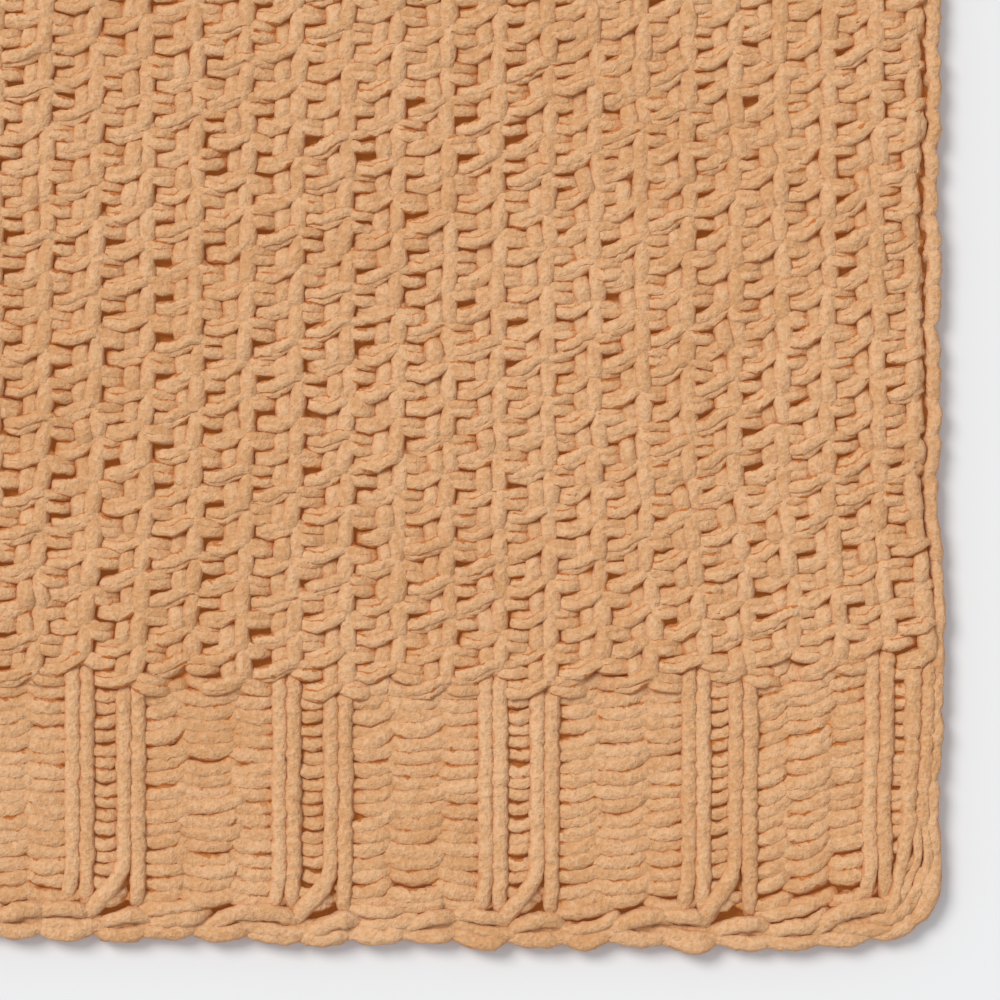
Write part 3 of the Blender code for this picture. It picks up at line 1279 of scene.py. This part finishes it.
@dataclass
class RibBorder:
    """The ribbed border: pairs of knit wales as smooth cords, with purl rows between them."""

    lay: ClothLay
    seed: int = 23
    bump_seeds: int = 31
    row_seeds: int = 7
    cord_seeds: int = 53
    cord_skein: int = 100
    variants: int = 8
    row_pitch: float = 4.406 * MM
    first_row: float = 13.2 * MM
    rows_past_top: float = 3.0 * MM
    turn_jitter: float = 0.05
    place_jitter: float = 0.40 * MM
    size_jitter: float = 0.06
    # Heights of the crests below which the yarn is painted with shade, the bars' apart, and strengths of the
    # painted crease shade on the rows and on the cords.
    crest: float = 7.1 * MM
    bar_crest: float = 6.9 * MM
    crease: float = 1.3
    cord_crease: float = 0.6
    pieces: int = 2
    # Unevenness of a bump: least and greatest share of its rise and of its size, and its sag in mm.
    rise_low: float = 0.5
    rise_high: float = 1.5
    thinnest: float = 0.92
    fattest: float = 1.06
    sag_jitter: float = 0.3
    # Over how many mm a bump slims towards the cords.
    slims_over: float = 4.5
    # The panel by the right side turns up towards it.
    right_panel_from: float = 320.0 * MM
    right_panel_over: float = 40.0 * MM
    right_panel_turn: float = 0.12
    # The cords of a knit wale, pinched once a row, and sinking in their last steps under the field.
    cord_offset: float = 2.35 * MM
    cord_height: float = 5.85 * MM
    cord_radius: float = 2.7 * MM
    cord_above_foot: float = 2.0 * MM
    cord_past_top: float = 1.2 * MM
    cord_sway: float = 0.05 * MM
    cord_swell: float = 0.02
    cord_unevenness: float = 0.35
    steps_per_row: int = 3
    pinch: float = 0.95
    sinking_steps: float = 3.0
    sinks_by: float = 1.8 * MM
    sinking_slims: float = 0.15
    # Cords beside the selvedge. Columns: towards the middle from the outermost seam, up from the rim,
    # height and radius, in mm; each keeps its first point's offset up to the field.
    side_cords: tuple = (
        (
            (5.5, 29.0, 5.6, 3.1), (7.0, 23.5, 5.8, 2.7), (8.3, 18.4, 5.9, 2.3),
            (9.8, 12.8, 6.0, 2.2), (12.0, 8.8, 5.8, 2.3), (15.4, 6.0, 4.2, 2.0),
        ),
        ((0.7, 30.0, 5.9, 2.4), (0.6, 25.0, 5.2, 2.1), (0.4, 21.5, 3.6, 1.6)),
    )
    # Columns of the strands: across, along, height and radius, in mm from the middle of a bump.
    # One purl bump, from under its left neighbour to under its right one.
    purl: tuple = (
        (-10.2, 1.9, 3.5, 2.30), (-8.7, 0.8, 4.5, 2.70), (-6.3, -0.1, 4.7, 2.90),
        (-2.6, -0.5, 4.9, 3.00), (1.0, -0.4, 4.9, 3.00), (4.3, 0.1, 4.9, 2.95),
        (6.6, 0.9, 4.7, 2.90), (8.6, 2.0, 4.5, 2.75), (10.2, 2.7, 3.5, 2.30),
    )
    # A short bar in the narrow channel between two knit wales.
    bar: tuple = (
        (-4.9, 0.9, 3.1, 2.0), (-2.8, -0.1, 4.9, 2.2), (0.0, -0.6, 5.4, 2.25), (2.8, 0.0, 5.1, 2.2),
        (5.4, 1.3, 3.2, 2.0),
    )
    # The foot of a knit cord at the cast-on edge: away from the seam (plus to the right), up from the
    # rim, height and radius. The first and second wales of a pair stand differently.
    feet: tuple = (
        (Wale.FIRST, Side.LEFT, ((-2.8, 18.5, 6.0, 2.5), (-3.5, 15.0, 5.6, 2.6), (-4.8, 11.6, 3.8, 2.2))),
        (Wale.FIRST, Side.RIGHT, ((2.1, 18.5, 6.0, 2.5), (2.1, 15.2, 5.8, 2.5), (2.4, 11.6, 4.4, 2.2))),
        (
            Wale.SECOND,
            Side.LEFT,
            (
                (-2.5, 26.0, 6.0, 2.6), (-3.1, 22.4, 6.0, 2.7), (-4.9, 18.8, 6.0, 2.9),
                (-7.8, 15.4, 5.9, 3.1), (-10.8, 12.2, 5.8, 3.0), (-13.3, 9.2, 4.9, 2.7),
                (-15.0, 7.0, 3.6, 2.2),
            ),
        ),
        (
            Wale.SECOND,
            Side.RIGHT,
            ((2.2, 18.5, 6.0, 2.5), (2.0, 15.2, 6.0, 2.6), (1.8, 12.6, 5.4, 2.4), (2.2, 10.2, 3.8, 2.0)),
        ),
    )

    def bump(self, number: int, shape: tuple, crest: float, place: PanelPlace = PanelPlace.MIDDLE) -> Skein:
        """The path of one purl bump or bar.

        Args:
            number: picks its unevenness.
            shape: its middle path.
            crest: height of the crests round it, below which it is painted with shade.
            place: where it stands in its panel.

        Returns:
            The bump's strand.
        """
        skein = Skein(self.seed + number, crest, self.crease, self.pieces)
        random = np.random.default_rng(self.seed * self.bump_seeds + number)
        rise = random.uniform(self.rise_low, self.rise_high)
        swell = random.uniform(self.thinnest, self.fattest)
        sag = random.normal(0.0, self.sag_jitter)
        toward_cords, slimming = place.value
        path = []
        for across, along, height, radius in shape:
            slim = 1.0 - slimming * ease(0.0, self.slims_over, across * toward_cords)
            path.append((across * MM, (along * rise + sag) * MM, height * MM, radius * swell * slim * MM))
        skein.lay(path)
        return skein

    def build(self, spinner: Spinner) -> list[bpy.types.Object]:
        """Spin the purl rows and the cords of the knit wales.

        Args:
            spinner: makes the pieces.

        Returns:
            The rows and the cords.
        """
        book = StitchBook("purl_bumps")
        for place in PanelPlace:
            for number in range(self.variants):
                book.add(self.bump(number, self.purl, self.crest, place))
        for number in range(self.variants):
            book.add(self.bump(number, self.bar, self.bar_crest))
        rows = spinner.spin("border_purl_rows", self.rows().mesh("purl_places"), book.collection)
        book.close()
        cord_paths = self.cords().mesh("cord_paths")
        return [rows, spinner.spin("border_knit_cords", cord_paths, unevenness=self.cord_unevenness)]

    def group(self, gap: int) -> int:
        """Find which group of bumps fills a gap between two wales.

        Args:
            gap: the number of the wale on its right.

        Returns:
            The number of the group: the parts of a panel come first, and then the bars.
        """
        right_is_knit = Wale.of(gap) is not Wale.PURL
        left_is_knit = Wale.of(gap + 1) is not Wale.PURL
        if right_is_knit and left_is_knit:
            return len(PanelPlace)
        place = PanelPlace.BY_RIGHT_CORDS if right_is_knit else PanelPlace.BY_LEFT_CORDS
        if not right_is_knit and not left_is_knit:
            place = PanelPlace.MIDDLE
        return list(PanelPlace).index(place)

    def rows(self) -> StitchPlan:
        """Place the purl bumps and bars, halfway between the seams, row by row.

        Returns:
            The places.
        """
        lay = self.lay
        plan = StitchPlan(self.variants, self.place_jitter, self.size_jitter, self.turn_jitter)
        random = np.random.default_rng(self.seed * self.row_seeds)
        count = math.ceil((lay.border_top + self.rows_past_top - self.first_row) / self.row_pitch)
        for gap in range(lay.wales - 1):
            right, left = lay.seam(gap), lay.seam(gap + 1)
            middle = (right + left) / 2
            turned = self.right_panel_turn * ease(0.0, self.right_panel_over, middle - self.right_panel_from)
            group = self.group(gap)
            wide = 1.0 if group == len(PanelPlace) else (right - left) / lay.wale_pitch
            for row in range(count):
                here, turn = lay.frame_at(middle, self.first_row + row * self.row_pitch)
                plan.add(random, here, turn + turned, (wide, 1.0), group)
        return plan

    def cords(self) -> Skein:
        """Lay the two cords of each knit wale, from the cast-on edge up to the field.

        Returns:
            The cords' strands.
        """
        skein = Skein(self.seed + self.cord_skein, self.crest, self.cord_crease, self.pieces)
        last = self.lay.wales - 1
        for wale in range(1, last):
            for kind, side, foot in self.feet:
                if Wale.of(wale) is kind:
                    offset = side.value * self.cord_offset
                    skein.lay(self.cord(wale, offset, self.cord_height, self.cord_radius, foot))
        for wale, inward in ((0, -1.0), (last, 1.0)):
            for strand in self.side_cords:
                foot = tuple((away * inward, *rest) for away, *rest in strand)
                away, _, high, wide = foot[0]
                skein.lay(self.cord(wale, away * MM, high * MM, wide * MM, foot))
        return skein

    def cord(self, wale: int, offset: float, height: float, radius: float, foot: tuple) -> list[Point]:
        """The path of one cord of a knit wale, from its foot up to the first course.

        Args:
            wale: the wale it belongs to.
            offset: how far right of the wale's seam it runs.
            height: height of its middle.
            radius: half its width.
            foot: points of its foot, as in feet.

        Returns:
            The path, upwards.
        """
        lay = self.lay
        random = np.random.default_rng(self.seed * self.cord_seeds + wale * 2 + int(offset > 0.0))
        seam = lay.seam(wale)
        path = [yarn_point(lay.place(seam + away * MM, up * MM), *rest) for away, up, *rest in reversed(foot)]
        start = foot[0][1] * MM + self.cord_above_foot
        top = lay.course(lay.course_of(wale, 0)) + self.cord_past_top
        steps = round((top - start) / self.row_pitch * self.steps_per_row)
        for i in range(steps + 1):
            along = start + (top - start) * i / steps
            pinch = self.pinch if i % self.steps_per_row == 0 else 1.0
            sunk = 1.0 - min(1.0, (steps - i) / self.sinking_steps)
            here = lay.place(seam + offset + random.normal(0.0, self.cord_sway), along)
            wide = radius * pinch * random.normal(1.0, self.cord_swell) * (1.0 - self.sinking_slims * sunk)
            path.append((here.x, here.y, height - self.sinks_by * sunk, wide))
        return path


@dataclass
class EdgeChain:
    """Chained loops of yarn round the cloth, with the looped strands of the cast-on edge."""

    lay: ClothLay
    seed: int = 41
    inset_seeds: int = 7
    link_seeds: int = 131
    loop_seed: int = 3
    # Height of the crests below which the chains are painted with shade, and strength of their painted crease
    # shade.
    crest: float = 6.2 * MM
    crease: float = 0.5
    pieces: int = 3
    unevenness: float = 1.3
    # Distances from link to link.
    side_pitch: float = 12.2 * MM
    band_pitch: float = 17.08 * MM
    end_pitch: float = 17.2 * MM
    corner_pitch: float = 10.0 * MM
    # Unevenness of a link: along the rim, its lean, its share of the size, and each point in mm.
    link_drift: float = 0.7 * MM
    link_lean: float = 0.03
    link_swell: float = 0.05
    link_wander: float = 0.1
    # Unevenness of a loop of the cast-on edge, and how near the sides its points may come.
    loop_lift: float = 0.35 * MM
    loop_drift: float = 0.9 * MM
    loop_lean: float = 0.03
    loop_swell: float = 0.06
    loops_off_left: float = 3.0 * MM
    loops_off_right: float = 9.0 * MM
    # How far the cast-on chain starts before the near left corner and runs past the right one.
    chain_before: float = 9.0 * MM
    chain_past: float = 1.0 * MM
    # Rows inside the cast-on edge at its corners: inside the rim, along the edge, up the side.
    corner_rows: tuple = ((6.6 * MM, 32.0 * MM, -4.0 * MM), (10.4 * MM, 28.0 * MM, -9.0 * MM))
    # Rows inside the bound-off edge, and how far before its corner they start.
    inner_rows: tuple = (6.6 * MM, 10.6 * MM)
    inner_rows_before: float = 16.0 * MM
    link_middle: float = 2.4 * MM
    # The low strand under the loops: inside the rim, off the sides, and in mm its height and radius.
    under_row: float = 6.2 * MM
    under_off_left: float = 10.0 * MM
    under_off_right: float = 12.0 * MM
    under_steps: int = 90
    under_height: float = 3.9
    under_radius: float = 2.4
    # Strands that fan out from the side into the cast-on edge. Columns: inside the side, up from the
    # rim, height and radius, in mm.
    fan: tuple = (
        (
            (7.0, 34.0, 4.2, 1.4), (7.0, 29.0, 5.6, 1.6), (7.2, 23.0, 6.2, 1.5),
            (8.2, 17.0, 6.3, 1.3), (10.0, 12.8, 6.2, 1.3), (12.2, 9.6, 6.0, 1.6),
            (15.2, 7.4, 4.4, 1.7),
        ),
        (
            (3.9, 30.0, 4.4, 1.6), (4.0, 25.0, 5.7, 1.9), (4.3, 18.6, 6.1, 1.7),
            (5.2, 13.4, 6.1, 1.5), (7.6, 9.4, 6.0, 1.6), (11.0, 6.6, 5.6, 2.1),
            (15.4, 5.2, 4.0, 1.8),
        ),
    )
    # Columns of the links: ahead round the rim, inside it, height and radius, in mm.
    side_link: tuple = (
        (-8.6, 3.0, 3.4, 1.9), (-6.2, 2.4, 4.6, 2.2), (-2.2, 2.1, 5.2, 2.4), (2.2, 2.1, 5.3, 2.4),
        (6.0, 2.4, 5.0, 2.3), (8.8, 3.1, 3.8, 1.9),
    )
    # The outer strand of a corner. Columns: up the side from the corner's middle, inside the rim, height
    # and radius, in mm.
    wrap: tuple = (
        (-19.0, 5.0, 3.2, 1.9), (-12.5, 3.6, 4.6, 2.2), (-6.0, 2.2, 5.0, 2.5), (0.0, 1.2, 5.0, 2.7),
        (6.0, 1.6, 5.0, 2.6), (13.0, 2.4, 4.8, 2.4), (20.0, 4.6, 3.4, 1.9),
    )
    # A smooth band of longer links inside the selvedge, beside the field only.
    band_from: float = 108.0 * MM
    band_link: tuple = (
        (-11.0, 7.6, 4.4, 1.8), (-8.0, 7.0, 6.0, 2.2), (-3.0, 6.7, 6.9, 2.6), (3.0, 6.7, 7.0, 2.6),
        (8.0, 7.1, 6.2, 2.3), (11.0, 7.8, 4.6, 1.8),
    )
    end_link: tuple = (
        (-12.0, 4.6, 3.0, 1.8), (-8.8, 3.6, 4.0, 2.3), (-4.4, 2.6, 4.5, 2.7), (0.4, 2.2, 4.7, 2.9),
        (4.6, 2.5, 4.8, 2.8), (8.4, 3.8, 4.4, 2.4), (11.4, 5.6, 3.2, 1.9),
    )
    # Strands of the cast-on edge by each pair of knit wales. Columns: across from the first seam, up
    # from the rim, height and radius, in mm.
    loops: tuple = (
        # the lens under the first wale
        (
            (-14.4, 8.8, 3.6, 2.0), (-11.4, 9.6, 5.4, 2.5), (-7.0, 10.0, 6.1, 2.7),
            (-2.4, 9.8, 6.2, 2.7), (1.6, 9.0, 5.6, 2.5), (4.4, 8.0, 4.2, 2.2),
        ),
        # across the foot of the pair, above the second wale's hole
        ((7.6, 16.2, 3.4, 1.7), (9.8, 15.6, 4.6, 2.0), (12.6, 15.0, 4.8, 2.1), (15.6, 15.2, 3.6, 1.8)),
        # the fat strand below that hole
        (
            (6.0, 4.8, 3.4, 1.9), (8.8, 6.0, 5.0, 2.4), (12.4, 7.2, 6.0, 2.7),
            (16.4, 7.8, 6.2, 2.7), (20.0, 7.6, 5.8, 2.6), (23.0, 6.6, 4.2, 2.2),
        ),
        # rising along the purl rows, between two slits
        (
            (17.6, 10.6, 3.6, 2.0), (21.4, 10.2, 5.2, 2.3), (26.4, 10.4, 6.0, 2.5),
            (31.6, 10.8, 6.1, 2.5), (36.4, 11.6, 5.7, 2.4), (40.6, 12.2, 4.0, 2.0),
        ),
        # below it
        (
            (22.0, 4.6, 3.4, 1.9), (25.4, 5.6, 4.9, 2.3), (30.2, 6.4, 5.6, 2.4),
            (35.0, 6.6, 5.8, 2.5), (39.0, 8.0, 5.4, 2.3), (41.6, 10.0, 4.0, 2.0),
        ),
        # the fat strand rising to the next pair
        (
            (36.0, 4.4, 3.4, 2.0), (40.6, 5.8, 5.0, 2.5), (45.0, 7.8, 6.1, 2.8),
            (49.4, 9.4, 6.4, 2.8), (53.8, 9.8, 6.0, 2.6), (57.4, 9.0, 4.2, 2.2),
        ),
        # along the edge, under the lens
        (
            (-16.0, 5.6, 3.6, 1.9), (-12.0, 6.0, 4.8, 2.2), (-6.0, 5.2, 5.2, 2.3),
            (0.4, 4.6, 5.2, 2.3), (6.0, 4.4, 4.8, 2.1), (9.6, 4.8, 3.6, 1.8),
        ),
    )

    def chain(self, skein: Skein, links: tuple, start: float, end: float, pitch: float, inset: float) -> None:
        """Chain a stretch of the rim.

        Args:
            skein: takes the links.
            links: the shape of a link.
            start: where the stretch starts, as a distance round the rim.
            end: where it ends.
            pitch: distance from link to link.
            inset: how far the chain is inside its outermost place.
        """
        own = round(start / MM) + round(inset / MM) * self.inset_seeds + len(links) * self.link_seeds
        random = np.random.default_rng(self.seed + own)
        count = max(1, round((end - start) / pitch))
        for i in range(count):
            middle = start + (i + 0.5) * (end - start) / count + random.normal(0.0, self.link_drift)
            lean, swell = random.normal(0.0, self.link_lean), random.normal(1.0, self.link_swell)
            path = []
            for ahead, inside, height, radius in links:
                inward = inset + (inside + lean * ahead + random.normal(0.0, self.link_wander)) * MM
                path.append(yarn_point(self.lay.rim(middle + ahead * MM, inward), height, radius * swell))
            skein.lay(path)

    def cast_on_loops(self, skein: Skein) -> None:
        """Lay the looped strands between the feet of the knit wales.

        Args:
            skein: takes them.
        """
        lay = self.lay
        random = np.random.default_rng(self.seed + self.loop_seed)
        for first in range(1, lay.wales + RIB_REPEAT, RIB_REPEAT):
            for strand in self.loops:
                middle = (strand[0][0] + strand[-1][0]) / 2
                lift, swell = random.normal(0.0, self.loop_lift), random.normal(1.0, self.loop_swell)
                drift, lean = random.normal(0.0, self.loop_drift), random.normal(0.0, self.loop_lean)
                path = []
                for across, up, height, radius in strand:
                    at = lay.seam(first) + across * MM + drift
                    if self.loops_off_left < at < lay.width - self.loops_off_right:
                        here = lay.place(at, (up + lean * (across - middle)) * MM + lift)
                        path.append(yarn_point(here, height, radius * swell))
                if len(path) > 2:
                    skein.lay(path)

    def corners(self, skein: Skein) -> None:
        """Lay the strands that fan out round the near corners, and the one that wraps each corner.

        Args:
            skein: takes them.
        """
        lay = self.lay
        half_arc = math.pi / 4 * lay.corner_radius
        for side in Side:
            for strand in self.fan:
                path = []
                for inside, up, height, radius in strand:
                    across = inside * MM if side is Side.LEFT else lay.width - inside * MM
                    path.append(yarn_point(lay.place(across, up * MM), height, radius))
                skein.lay(path)
        for side in Side:
            middle = (0.0 if side is Side.LEFT else lay.rim_start(1)) - half_arc
            path = []
            for up_side, inside, height, radius in self.wrap:
                here = lay.rim(middle + side.value * up_side * MM, inside * MM)
                path.append(yarn_point(here, height, radius))
            skein.lay(path)

    def under_strand(self, skein: Skein) -> None:
        """Lay the low strand that runs along the cast-on edge under its loops.

        Args:
            skein: takes it.
        """
        run = self.lay.width - self.under_off_left - self.under_off_right
        path = []
        for i in range(self.under_steps + 1):
            here = self.lay.place(self.under_off_left + run * i / self.under_steps, self.under_row)
            path.append(yarn_point(here, self.under_height, self.under_radius))
        skein.lay(path)

    def build(self, spinner: Spinner) -> list[bpy.types.Object]:
        """Spin the chains of the sides, the cast-on edge and the bound-off edge.

        Args:
            spinner: makes the pieces.

        Returns:
            The two sides as one piece, the cast-on edge and the bound-off edge.
        """
        lay = self.lay
        first, right, top, left = (lay.rim_start(side) for side in range(4))
        round_again = lay.rim_length()
        sides, cast_on, bind_off = (
            Skein(self.seed + i, self.crest, self.crease, self.pieces) for i in range(3)
        )
        for start, end in ((right, top), (left, round_again)):
            self.chain(sides, self.side_link, start, end, self.side_pitch, 0.0)
        for start, end in ((right + self.band_from, top), (left, round_again - self.band_from)):
            self.chain(sides, self.band_link, start, end, self.band_pitch, 0.0)
        start, end = first - self.chain_before, right + self.chain_past
        self.chain(cast_on, self.end_link, start, end, self.end_pitch, 0.0)
        self.chain(bind_off, self.end_link, top, left, self.end_pitch, 0.0)
        for row in self.inner_rows:
            start, inset = top - self.inner_rows_before, row - self.link_middle
            self.chain(bind_off, self.end_link, start, left, self.end_pitch, inset)
        for row, along_edge, up_side in self.corner_rows:
            for start, end in ((first - up_side, first + along_edge), (right - along_edge, right + up_side)):
                self.chain(cast_on, self.side_link, start, end, self.corner_pitch, row - self.link_middle)
        self.cast_on_loops(cast_on)
        self.corners(cast_on)
        self.under_strand(cast_on)
        return [
            spinner.spin("selvedge_chains", sides.mesh("selvedge_paths")),
            spinner.spin("cast_on_edge", cast_on.mesh("cast_on_paths"), unevenness=self.unevenness),
            spinner.spin("bound_off_edge", bind_off.mesh("bound_off_paths"), unevenness=self.unevenness),
        ]


# ---- Studio ----


@dataclass
class Studio:
    """A pale floor, soft light from the upper left, and a camera straight above the corner."""

    lay: ClothLay
    # The camera's frame, and how much of it lies right of the cloth and below it.
    view_span: float = 330.0 * MM
    view_right_of_side: float = 0.062
    view_below_end: float = 0.057
    camera_height: float = 1.9
    sensor: float = 36.0
    floor_size: float = 12.0
    floor_drop: float = 0.2 * MM
    key_energy: float = 2.035
    key_angle: float = 28.0
    key_colour: Colour = (1.0, 0.966, 0.926)
    key_direction: tuple = (0.70, -0.64, -1.06)
    sky_colour: Colour = (0.925, 0.967, 1.0)
    sky_strength: float = 0.631

    def build(self, floor_finish: PlainFinish) -> None:
        """Lay the floor and set the lights and the camera.

        Args:
            floor_finish: the floor's finish.
        """
        self.floor(floor_finish)
        self.lights()
        self.camera()

    def floor(self, finish: PlainFinish) -> None:
        """Lay a plain floor that isn't part of the blanket.

        Args:
            finish: its finish.
        """
        bpy.ops.mesh.primitive_plane_add(size=self.floor_size)
        floor = bpy.context.object
        floor.name = "floor"
        floor.data.materials.append(finish.material())
        floor.location.z = -self.floor_drop

    def lights(self) -> None:
        """Set one broad key light, and an even pale surround as fill."""
        key = bpy.data.objects.new("key_light", bpy.data.lights.new("key_light", "SUN"))
        key.data.energy = self.key_energy
        key.data.angle = math.radians(self.key_angle)
        key.data.color = self.key_colour
        key.rotation_euler = Vector(self.key_direction).to_track_quat("-Z", "Y").to_euler()
        bpy.context.scene.collection.objects.link(key)
        world = bpy.data.worlds.new("studio")
        world.use_nodes = True
        sky = world.node_tree.nodes["Background"].inputs
        sky["Color"].default_value = (*self.sky_colour, 1.0)
        sky["Strength"].default_value = self.sky_strength
        bpy.context.scene.world = world

    def camera(self) -> None:
        """Set a long lens straight above, framing the near right corner."""
        lay = self.lay
        centre_x = lay.origin.x + lay.width + (self.view_right_of_side - 0.5) * self.view_span
        centre_y = lay.origin.y - (self.view_below_end - 0.5) * self.view_span
        camera = bpy.data.objects.new("camera", bpy.data.cameras.new("camera"))
        camera.data.sensor_width = self.sensor
        camera.data.lens = self.sensor * self.camera_height / self.view_span
        camera.location = (centre_x, centre_y, self.camera_height)
        bpy.context.scene.collection.objects.link(camera)
        bpy.context.scene.camera = camera
        bpy.context.scene.view_settings.view_transform = "Standard"


def declare(ground: bpy.types.Object, yarn: list[bpy.types.Object]) -> None:
    """Attach each piece to the root body, and hide the solid that the pieces stand in for.

    Args:
        ground: the ground cloth.
        yarn: the pieces of yarn on it.
    """
    for piece in [ground, *yarn]:
        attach(piece, "root")
        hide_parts(CLOTH_NODE)


def main() -> None:
    """Build the blanket and its studio."""
    logging.basicConfig(level=logging.INFO, format="%(name)s: %(message)s")
    lay = ClothLay()
    chenille = ChenilleFinish("tan_chenille").material()
    spinner = Spinner(chenille)
    ground = GroundCloth(lay).build(chenille)
    yarn = TuckField(lay).build(spinner)
    yarn += RibBorder(lay).build(spinner)
    yarn += EdgeChain(lay).build(spinner)
    spinner.put_away()
    declare(ground, yarn)
    Studio(lay).build(PlainFinish("pale_floor"))


if __name__ == "__main__":
    main()
